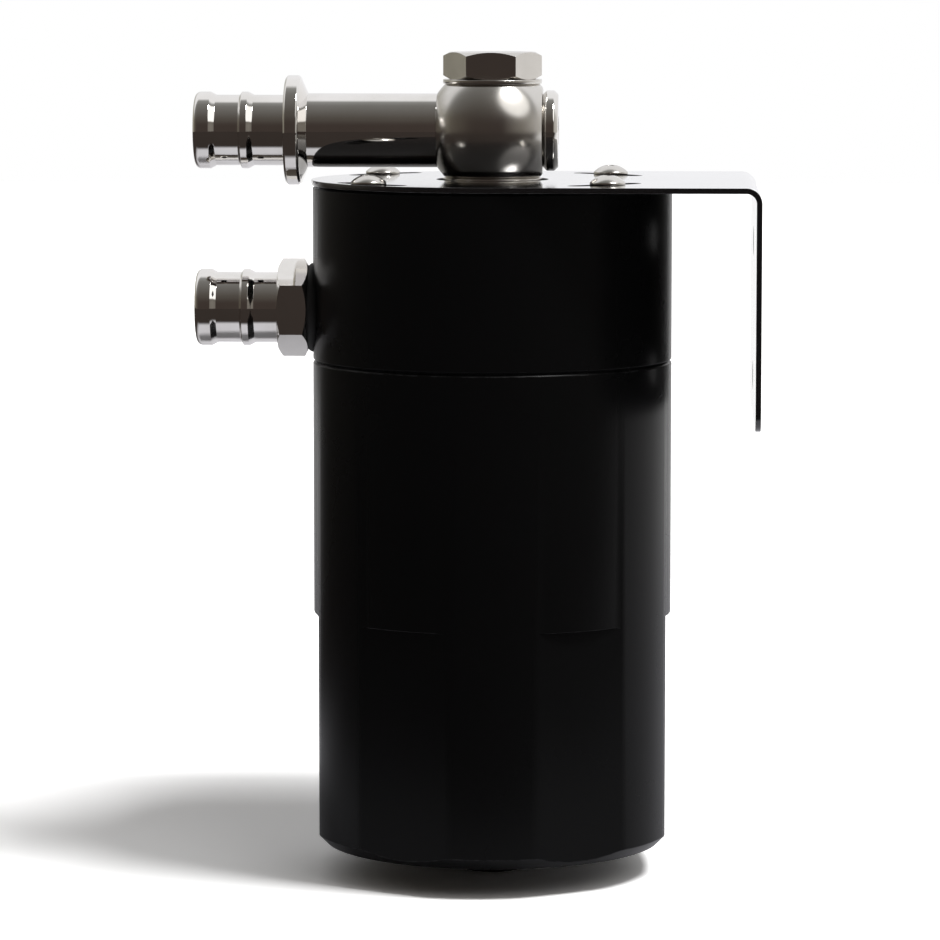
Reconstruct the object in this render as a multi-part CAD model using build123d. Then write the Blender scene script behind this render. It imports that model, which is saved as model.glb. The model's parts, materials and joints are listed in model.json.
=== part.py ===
from build123d import *
import math
import os

# Oil catch can: a two-piece turned can with a screwed-on cup, a swivelling
# banjo outlet on top, a barbed inlet at the side and a folded sheet bracket.
# Millimetres. The can's axis is +Z, the origin is the foot of the drain plug,
# the hose tails point to -X and the bracket's leg stands at +X.

# Can body
can_diameter = 80.0
head_height = 39.0
head_top_wall = 14.0
head_edge_chamfer = 0.7
cup_height = 108.5
cup_rim_wall = 4.8
cup_floor = 5.0
cup_floor_fillet = 4.0
rim_chamfer = 0.5
bottom_chamfer = 2.5
flat_count = 6
flat_depth = 1.4
flat_height = 52.0
flat_turn = 2.0

# Screwed joint between head and cup: both sides are drawn at the root of their thread
spigot_length = 12.0
spigot_wall = 2.75
spigot_chamfer = 1.0
thread_height = 1.25
thread_clearance = 0.2
thread_relief = 2.0
thread_runout = 1.2

# Face seal in the rim of the cup
rim_seal_width = 2.1
rim_seal_height = 1.45
seal_side_clearance = 0.15
seal_corner_share = 0.3
seal_top_clearance = 0.05

# Drain plug
plug_stand = 6.5
plug_flats = 14.0
plug_flange_diameter = 17.0
plug_flange = 1.5
plug_thread_diameter = 12.0
plug_thread_height = 0.85
plug_thread_length = 7.0
plug_thread_chamfer = 1.0
plug_clearance = 0.15
drain_seal_width = 1.2
drain_seal_height = 1.4

# Bracket
sheet = 1.2
bracket_end_overhang = 0.3
bracket_leg_gap = 18.1
bracket_drop = 52.7
bend_inner_radius = 2.2
leg_corner_radius = 5.0
bracket_eye_hole = 25.0
mount_hole_diameter = 6.6
mount_hole_spacing = 30.0
mount_hole_centre_drop = 28.5
slot_width = 4.6
slot_half_angle = 13.0

# Bracket screws
screw_inset = 3.95
screw_angle = 43.9
screw_diameter = 4.0
screw_length = 9.0
screw_head_diameter = 7.8
screw_head_height = 2.2
screw_head_rim = 0.5
screw_socket_flats = 2.5
screw_socket_depth = 1.2
tapped_clearance = 0.1
tapped_spare_depth = 1.5

# Banjo eye, bolt and washers
eye_diameter = 29.5
eye_height = 20.8
eye_tail_seat = 12.2
eye_plug_seat = 11.2
eye_cross_bore = 12.1
bolt_diameter = 16.0
bolt_clearance = 0.1
bolt_head_height = 6.0
bolt_waist_diameter = 13.0
bolt_waist_height = 13.0
bolt_bore = 9.0
bolt_bore_above_axis = 5.0
bolt_cross_bore = 7.0
washer_diameter = 22.0
upper_washer = 1.0
lower_washer = 1.6
fitting_flats = 19.0
hex_chamfer_angle = 30.0

# Hose tails
hose_barrel_diameter = 15.7
hose_ridge_diameter = 17.1
hose_bore = 11.6
lip_length = 4.8
lip_nose_radius = 1.3
lip_back_slope = 1.3
ridge_from_tip = 10.0
ridge_length = 3.2
ridge_front_slope = 0.5
ridge_back_slope = 1.3
bore_mouth_chamfer = 0.5

# Banjo tail
tail_tip = 66.2
tail_pipe_diameter = 16.4
tail_collar_diameter = 24.4
tail_collar_outer = 45.9
tail_collar_thickness = 3.4
tail_collar_chamfer = 0.5
tail_hub_length = 1.5
tail_hub_rise = 3.3
tail_spigot_length = 3.4
tail_spigot_wall = 1.2
spigot_joint_clearance = 0.05

# Banjo end plug
end_plug_diameter = 17.9
end_plug_thickness = 3.5
end_plug_chamfer = 0.9
end_plug_thread_length = 2.4
end_plug_socket_flats = 6.0
end_plug_socket_depth = 2.4
end_seal_width = 1.3
end_seal_depth = 0.9

# Side inlet fitting
port_above_seam = 11.5
spot_face_diameter = 21.8
spot_face_depth = 1.5
side_hex_length = 6.6
side_tail_length = 18.4
side_thread_diameter = 16.0
side_seal_width = 2.0
side_seal_thickness = 2.55

# Separator inside the head
tube_diameter = 40.0
tube_wall = 2.0
tube_length = 38.0
tube_boss_height = 5.0
tube_clearance = 0.05
screen_thickness = 1.5
screen_hole_diameter = 3.6
screen_hole_pitch = 6.0
screen_hole_rings = 2
circlip_thickness = 1.2
circlip_width = 2.4
circlip_gap_angle = 50.0
circlip_groove_depth = 0.8
circlip_from_end = 2.0
circlip_clearance = 0.1

# Places that follow from the sizes above
can_radius = can_diameter / 2
cup_thread_radius = can_radius - cup_rim_wall
spigot_radius = cup_thread_radius - thread_clearance - thread_height
cup_bore_radius = cup_thread_radius - thread_runout
chamber_radius = spigot_radius - spigot_wall
rim_seal_radius = cup_thread_radius + cup_rim_wall / 2
cup_bottom = plug_stand
seam = cup_bottom + cup_height
head_top = seam + head_height
chamber_top = head_top - head_top_wall
plate_top = head_top + sheet
bracket_reach = can_radius + bracket_leg_gap + sheet
bracket_half = can_radius + bracket_end_overhang
eye_bottom = head_top + lower_washer
eye_centre = eye_bottom + eye_height / 2
eye_top = eye_bottom + eye_height
bolt_seat = eye_top + upper_washer
bolt_end = chamber_top
port_height = seam + port_above_seam
spot_face = can_radius - spot_face_depth
side_hex_inner = spot_face + side_seal_thickness
side_hex_outer = side_hex_inner + side_hex_length
side_tip = side_hex_outer + side_tail_length
eye_bore_radius = bolt_diameter / 2 + bolt_clearance
tube_bore_radius = tube_diameter / 2 - tube_wall
tube_bottom = chamber_top - tube_length
boss_bottom = chamber_top - tube_boss_height
circlip_bottom = tube_bottom + circlip_from_end
circlip_top = circlip_bottom + circlip_thickness
screen_top = circlip_top + screen_thickness
mount_hole_centre = plate_top - mount_hole_centre_drop
screw_radius = can_radius - screw_inset
screw_x = screw_radius * math.cos(math.radians(screw_angle))
screw_y = screw_radius * math.sin(math.radians(screw_angle))
screw_places = [(sx * screw_x, sy * screw_y) for sx in (-1, 1) for sy in (-1, 1)]


def turned(points):
    """A solid turned about the can's axis from (radius, height) points."""
    return revolve(Plane.XZ * make_face(Polyline(*points, close=True)), Axis.Z)


def turned_tail(face):
    """A solid turned about a hose axis from a face drawn in (distance, radius)."""
    return Rot(0, 0, 180) * revolve(face, Axis.X)


def ring(inner_radius, outer_radius, bottom, top):
    """A plain ring about the can's axis."""
    return turned([
        (inner_radius, bottom),
        (outer_radius, bottom),
        (outer_radius, top),
        (inner_radius, top),
    ])


def bar(radius, bottom, top):
    """A plain round bar about the can's axis."""
    return turned([(0, bottom), (radius, bottom), (radius, top), (0, top)])


def lying_bar(radius, start, end, height):
    """A round bar along X between two distances from the can's axis."""
    return Pos(start, 0, height) * extrude(Plane.YZ * Circle(radius), end - start)


def seal_ring(inner_radius, width, bottom, height):
    """A squeezed O-ring: a ring whose corners are cut by a share of its thinner side."""
    corner = min(width, height) * seal_corner_share
    section = Rectangle(width, height)
    section = chamfer(section.vertices(), corner)
    return revolve(Plane.XZ * Pos(inner_radius + width / 2, bottom + height / 2) * section, Axis.Z)


def hexagon(flats):
    """A hexagon by its width across flats, with corners on the X axis."""
    return RegularPolygon(flats / 2, 6, major_radius=False)


def chamfered_hex(flats, height):
    """A hexagon prism standing on z = 0 with its corners turned off at both ends."""
    corner = flats / math.sqrt(3)
    rise = (corner - flats / 2) * math.tan(math.radians(hex_chamfer_angle))
    blank = turned([
        (0, 0),
        (flats / 2, 0),
        (corner, rise),
        (corner, height - rise),
        (flats / 2, height),
        (0, height),
    ])
    return extrude(hexagon(flats), height) & blank


def hose_tail_points(base, tip):
    """The barbed outside of a hose tail from its base to its tip, as (distance, radius)."""
    barrel = hose_barrel_diameter / 2
    ridge = hose_ridge_diameter / 2
    ridge_outer = tip - ridge_from_tip
    ridge_inner = ridge_outer - ridge_length
    lip_inner = tip - lip_length
    return [
        (base, barrel),
        (ridge_inner, barrel),
        (ridge_inner + ridge_back_slope, ridge),
        (ridge_outer - ridge_front_slope, ridge),
        (ridge_outer, barrel),
        (lip_inner, barrel),
        (lip_inner + lip_back_slope, ridge),
        (tip, ridge),
        (tip, hose_bore / 2 + bore_mouth_chamfer),
        (tip - bore_mouth_chamfer, hose_bore / 2),
    ]


def with_round_nose(face, tip):
    """The profile of a hose tail with the outer corner of its lip rounded."""
    corner = face.vertices().sort_by_distance((tip, hose_ridge_diameter / 2, 0))[0]
    return fillet(corner, lip_nose_radius)


def make_head():
    """Turned head: thick top, chamber, threaded spigot, boss for the separator tube and ports."""
    boss = tube_bore_radius - tube_clearance
    bore = bolt_diameter / 2 + tapped_clearance
    body = turned([
        (bore, head_top),
        (can_radius - head_edge_chamfer, head_top),
        (can_radius, head_top - head_edge_chamfer),
        (can_radius, seam + rim_chamfer),
        (can_radius - rim_chamfer, seam),
        (spigot_radius, seam),
        (spigot_radius, seam - spigot_length + spigot_chamfer),
        (spigot_radius - spigot_chamfer, seam - spigot_length),
        (chamber_radius, seam - spigot_length),
        (chamber_radius, chamber_top),
        (boss, chamber_top),
        (boss, boss_bottom),
        (bore, boss_bottom),
    ])
    port_bore = side_thread_diameter / 2 + tapped_clearance
    body -= lying_bar(spot_face_diameter / 2, -spot_face - can_radius, -spot_face, port_height)
    body -= lying_bar(port_bore, -can_radius, -tube_diameter / 2, port_height)
    tapped_depth = screw_length - sheet + tapped_spare_depth
    tapped_hole = bar(screw_diameter / 2 + tapped_clearance, head_top - tapped_depth, head_top)
    for x, y in screw_places:
        body -= Pos(x, y, 0) * tapped_hole
    return body


def make_cup():
    """Turned cup: threaded mouth, six grip flats on the lower bowl, floor with the drain hole."""
    rim_groove_half = rim_seal_width / 2 + seal_side_clearance
    groove_floor = seam - rim_seal_height - seal_top_clearance
    thread_floor = seam - spigot_length - thread_relief
    floor_top = cup_bottom + cup_floor
    plug_bore = plug_thread_diameter / 2 + plug_clearance
    seal_seat = plug_bore + drain_seal_width + seal_side_clearance
    outline = Plane.XZ * make_face(Polyline(
        (plug_bore, floor_top),
        (cup_bore_radius, floor_top),
        (cup_bore_radius, thread_floor - thread_runout),
        (cup_thread_radius, thread_floor),
        (cup_thread_radius, seam),
        (rim_seal_radius - rim_groove_half, seam),
        (rim_seal_radius - rim_groove_half, groove_floor),
        (rim_seal_radius + rim_groove_half, groove_floor),
        (rim_seal_radius + rim_groove_half, seam),
        (can_radius - rim_chamfer, seam),
        (can_radius, seam - rim_chamfer),
        (can_radius, cup_bottom + bottom_chamfer),
        (can_radius - bottom_chamfer, cup_bottom),
        (seal_seat, cup_bottom),
        (seal_seat, cup_bottom + drain_seal_height + seal_top_clearance),
        (plug_bore, cup_bottom + drain_seal_height + seal_top_clearance),
        close=True,
    ))
    inner_corner = outline.vertices().sort_by_distance((cup_bore_radius, 0, floor_top))[0]
    body = revolve(fillet(inner_corner, cup_floor_fillet), Axis.Z)
    cutter = Box(can_diameter, can_diameter, flat_height, align=(Align.MIN, Align.CENTER, Align.MIN))
    cutter = Pos(can_radius - flat_depth, 0, cup_bottom) * cutter
    for index in range(flat_count):
        body -= Rot(0, 0, flat_turn + index * 360 / flat_count) * cutter
    return body


def make_cup_seal():
    """Face seal that lies in the groove of the cup's rim."""
    return seal_ring(rim_seal_radius - rim_seal_width / 2, rim_seal_width,
                     seam - rim_seal_height - seal_top_clearance, rim_seal_height)


def make_drain_plug():
    """Hexagon-head drain plug with a flange: the can stands on its head. Its thread is drawn at the root."""
    flange = plug_flange_diameter / 2
    thread = plug_thread_diameter / 2 - plug_thread_height
    thread_top = plug_stand + plug_thread_length
    body = turned([
        (0, plug_stand - plug_flange),
        (flange, plug_stand - plug_flange),
        (flange, plug_stand),
        (thread, plug_stand),
        (thread, thread_top - plug_thread_chamfer),
        (thread - plug_thread_chamfer, thread_top),
        (0, thread_top),
    ])
    return body + chamfered_hex(plug_flats, plug_stand - plug_flange)


def make_drain_seal():
    """Seal under the plug's head, in the counterbore of the cup's floor."""
    return seal_ring(plug_thread_diameter / 2 + plug_clearance, drain_seal_width,
                     cup_bottom + seal_top_clearance / 2, drain_seal_height)


def make_bracket():
    """Folded sheet bracket: a plate with an arc slot for each screw, and a leg with two holes."""
    outer_bend = bend_inner_radius + sheet
    leg_bottom = plate_top - bracket_drop
    side = make_face(Polyline(
        (-bracket_half, plate_top),
        (bracket_reach, plate_top),
        (bracket_reach, leg_bottom),
        (bracket_reach - sheet, leg_bottom),
        (bracket_reach - sheet, head_top),
        (-bracket_half, head_top),
        close=True,
    ))
    outside = side.vertices().sort_by_distance((bracket_reach, plate_top, 0))[0]
    side = fillet(outside, outer_bend)
    inside = side.vertices().sort_by_distance((bracket_reach - sheet, head_top, 0))[0]
    side = fillet(inside, bend_inner_radius)
    folded = extrude(Plane.XZ * side, bracket_half, both=True)
    plan = make_face([
        CenterArc((0, 0), bracket_half, 90, 180),
        Polyline((0, -bracket_half), (bracket_reach, -bracket_half),
                 (bracket_reach, bracket_half), (0, bracket_half)),
    ])
    folded &= Pos(0, 0, leg_bottom) * extrude(plan, bracket_drop)
    leg_outline = Pos(0, leg_bottom + bracket_drop) * RectangleRounded(
        2 * bracket_half, 2 * bracket_drop, leg_corner_radius)
    folded &= extrude(Plane.YZ * leg_outline, 2 * bracket_reach, both=True)
    folded -= bar(bracket_eye_hole / 2, head_top, plate_top)
    for x, y in screw_places:
        slot_start = math.degrees(math.atan2(y, x)) - slot_half_angle
        path = CenterArc((0, 0), screw_radius, slot_start, 2 * slot_half_angle)
        folded -= Pos(0, 0, head_top) * extrude(SlotArc(path, slot_width), sheet)
    for step in (-0.5, 0.5):
        height = mount_hole_centre + step * mount_hole_spacing
        folded -= lying_bar(mount_hole_diameter / 2, can_radius, bracket_reach, height)
    return folded


def make_bracket_screws():
    """Four button-head screws that clamp the bracket to the head."""
    rim = screw_head_diameter / 2
    dome = make_face([
        Polyline((rim, screw_head_rim), (rim, 0), (0, 0), (0, screw_head_height)),
        TangentArc((0, screw_head_height), (rim, screw_head_rim), tangent=(1, 0)),
    ])
    screw = Pos(0, 0, plate_top) * revolve(Plane.XZ * dome, Axis.Z)
    screw += bar(screw_diameter / 2, plate_top - screw_length, plate_top)
    socket_floor = plate_top + screw_head_height - screw_socket_depth
    screw -= Pos(0, 0, socket_floor) * extrude(hexagon(screw_socket_flats), screw_socket_depth)
    return Compound([Pos(x, y, 0) * screw for x, y in screw_places])


def make_banjo_eye():
    """Ball-shaped banjo eye with flats for the washers, the tail and the end plug."""
    ball = Sphere(eye_diameter / 2)
    ball &= Pos(-eye_tail_seat, 0, 0) * Box(eye_tail_seat + eye_plug_seat, eye_diameter, eye_height,
                                           align=(Align.MIN, Align.CENTER, Align.CENTER))
    ball = Pos(0, 0, eye_centre) * ball
    ball -= lying_bar(eye_cross_bore / 2, -eye_tail_seat, eye_plug_seat, eye_centre)
    return ball - bar(eye_bore_radius, eye_bottom, eye_top)


def make_banjo_bolt():
    """Hollow banjo bolt: hexagon head, waisted shank with four cross holes, threaded end."""
    shank = bolt_diameter / 2
    waist = bolt_waist_diameter / 2
    waist_half = bolt_waist_height / 2
    slope = shank - waist
    body = turned([
        (0, bolt_end),
        (shank, bolt_end),
        (shank, eye_centre - waist_half - slope),
        (waist, eye_centre - waist_half),
        (waist, eye_centre + waist_half),
        (shank, eye_centre + waist_half + slope),
        (shank, bolt_seat),
        (0, bolt_seat),
    ])
    body += Pos(0, 0, bolt_seat) * chamfered_hex(fitting_flats, bolt_head_height)
    body -= bar(bolt_bore / 2, bolt_end, eye_centre + bolt_bore_above_axis)
    cross_hole = lying_bar(bolt_cross_bore / 2, -shank, shank, eye_centre)
    return body - cross_hole - Rot(0, 0, 90) * cross_hole


def make_upper_washer():
    """Sealing washer under the bolt's head."""
    return ring(eye_bore_radius, washer_diameter / 2, eye_top, bolt_seat)


def make_lower_washer():
    """Sealing washer between the eye and the head, inside the bracket's eye hole."""
    return ring(eye_bore_radius, washer_diameter / 2, head_top, eye_bottom)


def make_banjo_tail():
    """Outlet pipe: spigot into the eye, pipe, hose stop collar and barbed end."""
    pipe = tail_pipe_diameter / 2
    collar = tail_collar_diameter / 2
    collar_inner = tail_collar_outer - tail_collar_thickness
    spigot_end = eye_tail_seat - tail_spigot_length
    spigot = eye_cross_bore / 2 - spigot_joint_clearance
    spigot_bore = spigot - tail_spigot_wall
    points = [
        (spigot_end, spigot_bore),
        (spigot_end, spigot),
        (eye_tail_seat, spigot),
        (eye_tail_seat, pipe),
        (collar_inner - tail_hub_length, pipe),
        (collar_inner, pipe + tail_hub_rise),
        (collar_inner, collar - tail_collar_chamfer),
        (collar_inner + tail_collar_chamfer, collar),
        (tail_collar_outer - tail_collar_chamfer, collar),
        (tail_collar_outer, collar - tail_collar_chamfer),
    ]
    points += hose_tail_points(tail_collar_outer, tail_tip)
    points += [(eye_tail_seat, hose_bore / 2), (eye_tail_seat, spigot_bore)]
    profile = with_round_nose(make_face(Polyline(*points, close=True)), tail_tip)
    return Pos(0, 0, eye_centre) * turned_tail(profile)


def make_end_plug():
    """Round plug that closes the far side of the eye, with a hexagon socket in its face."""
    outer = eye_plug_seat + end_plug_thickness
    radius = end_plug_diameter / 2
    thread = eye_cross_bore / 2 - spigot_joint_clearance
    seal_outer = thread + end_seal_width + 2 * seal_side_clearance
    seal_floor = eye_plug_seat + end_seal_depth + seal_top_clearance
    profile = make_face(Polyline(
        (eye_plug_seat - end_plug_thread_length, 0),
        (eye_plug_seat - end_plug_thread_length, thread),
        (seal_floor, thread),
        (seal_floor, seal_outer),
        (eye_plug_seat, seal_outer),
        (eye_plug_seat, radius - end_plug_chamfer),
        (eye_plug_seat + end_plug_chamfer, radius),
        (outer - end_plug_chamfer, radius),
        (outer, radius - end_plug_chamfer),
        (outer, 0),
        close=True,
    ))
    body = revolve(profile, Axis.X)
    socket = Pos(outer - end_plug_socket_depth, 0, 0) * extrude(
        Plane.YZ * hexagon(end_plug_socket_flats), end_plug_socket_depth)
    return Pos(0, 0, eye_centre) * (body - socket)


def make_end_seal():
    """Seal in the groove under the end plug's head."""
    inner = eye_cross_bore / 2 - spigot_joint_clearance + seal_side_clearance
    upright = seal_ring(inner, end_seal_width, eye_plug_seat + seal_top_clearance / 2, end_seal_depth)
    return Pos(0, 0, eye_centre) * Rot(0, 90, 0) * upright


def make_side_fitting():
    """Inlet fitting: threaded shank, hexagon and barbed hose end, bored through."""
    shank = side_thread_diameter / 2
    points = [(chamber_radius, hose_bore / 2), (chamber_radius, shank), (side_hex_outer, shank)]
    points += hose_tail_points(side_hex_outer, side_tip)
    profile = with_round_nose(make_face(Polyline(*points, close=True)), side_tip)
    body = turned_tail(profile)
    nut = chamfered_hex(fitting_flats, side_hex_length) - bar(shank, 0, side_hex_length)
    body += Pos(-side_hex_inner, 0, 0) * Rot(0, -90, 0) * nut
    return Pos(0, 0, port_height) * body


def make_side_seal():
    """O-ring squeezed between the inlet's hexagon and the spot face on the head."""
    upright = seal_ring(side_thread_diameter / 2, side_seal_width, spot_face, side_seal_thickness)
    return Pos(0, 0, port_height) * Rot(0, -90, 0) * upright


def make_separator_tube():
    """Tube that hangs from the head's boss around the outlet and holds the mesh."""
    groove_radius = tube_bore_radius + circlip_groove_depth
    groove_bottom = circlip_bottom - circlip_clearance
    groove_top = circlip_top + circlip_clearance
    body = ring(tube_bore_radius, tube_diameter / 2, tube_bottom, chamber_top)
    return body - ring(tube_bore_radius, groove_radius, groove_bottom, groove_top)


def make_mesh_pack():
    """Pack of knitted wire between the boss and the screen."""
    return bar(tube_bore_radius - tube_clearance, screen_top, boss_bottom)


def make_screen_plate():
    """Perforated disc under the mesh: rings of holes around a middle one."""
    plate = bar(tube_bore_radius - circlip_clearance, circlip_top, screen_top)
    hole = bar(screen_hole_diameter / 2, circlip_top, screen_top)
    plate -= hole
    for ring_index in range(1, screen_hole_rings + 1):
        count = 6 * ring_index
        for step in range(count):
            plate -= Rot(0, 0, step * 360 / count) * Pos(ring_index * screen_hole_pitch, 0, 0) * hole
    return plate


def make_circlip():
    """Open retaining ring in the groove of the separator tube."""
    outer = tube_bore_radius + circlip_groove_depth - circlip_clearance
    hoop = ring(outer - circlip_width, outer, circlip_bottom, circlip_top)
    half = math.radians(circlip_gap_angle / 2)
    reach = tube_diameter
    wedge = make_face(Polyline(
        (0, 0),
        (reach * math.cos(half), -reach * math.sin(half)),
        (reach * math.cos(half), reach * math.sin(half)),
        close=True,
    ))
    return hoop - Pos(0, 0, circlip_bottom) * extrude(wedge, circlip_thickness)


nodes = {
    "head": make_head(),
    "cup": make_cup(),
    "cup_seal": make_cup_seal(),
    "drain_plug": make_drain_plug(),
    "drain_seal": make_drain_seal(),
    "bracket": make_bracket(),
    "bracket_screws": make_bracket_screws(),
    "banjo_eye": make_banjo_eye(),
    "banjo_tail": make_banjo_tail(),
    "banjo_end_plug": make_end_plug(),
    "banjo_end_seal": make_end_seal(),
    "banjo_bolt": make_banjo_bolt(),
    "banjo_upper_washer": make_upper_washer(),
    "banjo_lower_washer": make_lower_washer(),
    "side_fitting": make_side_fitting(),
    "side_fitting_seal": make_side_seal(),
    "separator_tube": make_separator_tube(),
    "mesh_pack": make_mesh_pack(),
    "screen_plate": make_screen_plate(),
    "screen_circlip": make_circlip(),
}

os.makedirs("parts", exist_ok=True)
for name, shape in nodes.items():
    export_step(shape, f"parts/{name}.step")
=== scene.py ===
# %% [markdown]
# # Oil catch can
# A catch can sits in an engine's breather hose and keeps the oil mist out of the intake.
# Every piece has its true size already, so this lesson only gives the pieces their finish:
# soft edges, screw threads, knitted wire and the materials.
# Nothing is moved or resized. The frame is loaded first, and its box is kept.

# %% Load the frame
import json
import math

import bmesh
import bpy
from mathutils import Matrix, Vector


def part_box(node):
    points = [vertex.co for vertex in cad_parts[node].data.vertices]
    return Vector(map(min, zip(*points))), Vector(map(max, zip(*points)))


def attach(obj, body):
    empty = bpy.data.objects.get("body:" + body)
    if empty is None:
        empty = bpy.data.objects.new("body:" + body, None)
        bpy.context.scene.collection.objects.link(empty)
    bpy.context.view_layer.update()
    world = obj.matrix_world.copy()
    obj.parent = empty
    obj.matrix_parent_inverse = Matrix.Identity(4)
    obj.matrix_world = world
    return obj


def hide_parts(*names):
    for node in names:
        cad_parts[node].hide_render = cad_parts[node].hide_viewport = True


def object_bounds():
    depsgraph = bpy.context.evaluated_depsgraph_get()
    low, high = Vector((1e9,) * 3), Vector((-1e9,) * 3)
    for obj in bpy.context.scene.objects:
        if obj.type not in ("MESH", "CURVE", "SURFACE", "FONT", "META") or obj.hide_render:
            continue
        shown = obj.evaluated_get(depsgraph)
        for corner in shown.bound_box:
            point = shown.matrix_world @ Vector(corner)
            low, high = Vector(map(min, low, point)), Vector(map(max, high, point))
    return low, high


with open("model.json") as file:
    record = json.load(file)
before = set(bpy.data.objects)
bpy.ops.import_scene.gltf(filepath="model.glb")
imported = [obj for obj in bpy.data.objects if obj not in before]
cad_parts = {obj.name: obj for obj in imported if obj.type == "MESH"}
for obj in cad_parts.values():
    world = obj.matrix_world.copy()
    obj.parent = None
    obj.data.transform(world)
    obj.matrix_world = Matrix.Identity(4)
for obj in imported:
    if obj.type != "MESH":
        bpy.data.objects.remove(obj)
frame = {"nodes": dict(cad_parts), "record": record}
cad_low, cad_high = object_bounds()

MM = 0.001
record = frame["record"]
bodies = record["behaviour"]["bodies"]
body_of_node = {node: body for body, nodes in bodies.items() for node in nodes}
print("nodes", len(frame["nodes"]), "box in mm", [round(x / MM, 1) for x in (*cad_low, *cad_high)])

# %% [markdown]
# ## The camera
# A long lens about a metre away keeps upright edges upright, as in a catalogue picture.
# The view is a little above the bracket, so its top shows as a thin bright strip.
# Angles and a distance say more than a position does, so the position is worked out from them.

# %% Camera
VIEW_AZIMUTH = math.radians(2.5)
VIEW_ELEVATION = math.radians(6.26)
VIEW_DISTANCE = 1052 * MM
VIEW_TARGET = Vector((-5.0, 0.0, 90.05)) * MM
LENS_MM = 179.8
FARTHEST_SEEN = 100.0


def direction(azimuth, elevation):
    """A unit vector that points from the object towards that side and height."""
    flat = math.cos(elevation)
    return Vector((math.sin(azimuth) * flat, -math.cos(azimuth) * flat, math.sin(elevation)))


def make_camera():
    """A camera with a long lens that looks at the middle of the picture."""
    lens = bpy.data.cameras.new("catalogue_view")
    lens.lens = LENS_MM
    lens.clip_end = FARTHEST_SEEN
    camera = bpy.data.objects.new("catalogue_view", lens)
    back = direction(VIEW_AZIMUTH, VIEW_ELEVATION)
    camera.location = VIEW_TARGET + back * VIEW_DISTANCE
    camera.rotation_euler = (-back).to_track_quat("-Z", "Y").to_euler()
    bpy.context.scene.collection.objects.link(camera)
    bpy.context.scene.camera = camera
    return camera


camera = make_camera()
print("camera at", [round(x / MM) for x in camera.location], "mm")

# %% [markdown]
# ## Node helpers
# Every material below is a small graph of nodes. Adding nodes by hand takes three lines each,
# so one helper adds a node, sets its own settings and fills its inputs, with a value or a link.
# A Mix node lists the sockets of all its types, so those for colours are picked by their number.

# %% Node helpers
MIX_COLOURS = slice(6, 8)
MIX_COLOUR_RESULT = 2


def add_node(tree, kind, inputs=None, **settings):
    """Adds a node, applies its settings, and fills its inputs with values or links."""
    made = tree.nodes.new(kind)
    for key, value in settings.items():
        setattr(made, key, value)
    for key, value in (inputs or {}).items():
        socket = made.inputs[key]
        if isinstance(value, bpy.types.NodeSocket):
            tree.links.new(value, socket)
        else:
            socket.default_value = value
    return made


def calculate(tree, operation, first, second=0.0):
    """The result of a Math node on one or two values."""
    return add_node(tree, "ShaderNodeMath", {0: first, 1: second}, operation=operation).outputs[0]


def smooth_step(tree, value, start, end):
    """0 below start, 1 above end, and a soft step between them."""
    limits = {"Value": value, "From Min": start, "From Max": end}
    step = add_node(tree, "ShaderNodeMapRange", limits, interpolation_type="SMOOTHSTEP")
    return step.outputs["Result"]


def mix_colour(tree, factor, first, second):
    """A blend of two colours, or of two links that carry colours."""
    made = add_node(tree, "ShaderNodeMix", {"Factor": factor}, data_type="RGBA")
    for socket, value in zip(made.inputs[MIX_COLOURS], (first, second)):
        if isinstance(value, bpy.types.NodeSocket):
            tree.links.new(value, socket)
        else:
            socket.default_value = (*value, 1.0)
    return made.outputs[MIX_COLOUR_RESULT]


def colour_ramp(tree, value, stops):
    """A colour that follows a value through (position, colour) stops."""
    made = add_node(tree, "ShaderNodeValToRGB", {"Fac": value})
    ends = made.color_ramp.elements
    for end, (position, colour) in zip(ends, (stops[0], stops[-1])):
        end.position = position
        end.color = (*colour, 1.0)
    for position, colour in stops[1:-1]:
        ends.new(position).color = (*colour, 1.0)
    return made.outputs["Color"]


print("helpers ready")

# %% [markdown]
# ## The studio
# The can stands on white paper that goes on as a white backdrop. A window stands to the right,
# the room behind the camera is dark and brown, and a soft lamp hangs above, to the front right.
# Polished metal is only as good as what it mirrors, so the surroundings are painted by direction
# in the world: one ramp runs round the horizon, in degrees from the camera's side, and one goes
# from the camera over the top to the backdrop. The camera itself sees plain white.
# A lamp without distance lights paper and can evenly, and the room counts less on matt surfaces
# than in mirrors, which keeps the shadow deep.

# %% World and lamp
ROUND_THE_HORIZON = [
    (-180, (0.95, 0.95, 0.97)),
    (-166, (0.75, 0.75, 0.74)),
    (-150, (0.44, 0.43, 0.38)),
    (-115, (0.36, 0.34, 0.28)),
    (-75, (0.12, 0.105, 0.085)),
    (-35, (0.060, 0.047, 0.040)),
    (20, (0.050, 0.038, 0.033)),
    (60, (0.26, 0.24, 0.21)),
    (95, (0.60, 0.58, 0.55)),
    (120, (0.90, 0.88, 0.86)),
    (180, (0.95, 0.95, 0.97)),
]
OVER_THE_TOP = [
    (0, (0.048, 0.036, 0.031)),
    (40, (0.095, 0.084, 0.073)),
    (85, (0.20, 0.195, 0.185)),
    (100, (0.30, 0.30, 0.29)),
    (110, (0.95, 0.95, 0.96)),
    (180, (0.95, 0.95, 0.97)),
]
SOFTBOX_FROM = Vector((0.58, -0.37, 0.74)).normalized()
SOFTBOX_EDGE = (math.cos(math.radians(27)), math.cos(math.radians(22)))
SOFTBOX_COLOUR = (1.3, 1.28, 1.25)
KEY_STRENGTH = 2.3
KEY_WIDTH = math.radians(16)
KEY_FROM = Vector((0.42, -0.16, 0.89))
ROOM_CUT = 0.35
UPWARD_BLEND = (0.20, 0.60)


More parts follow.
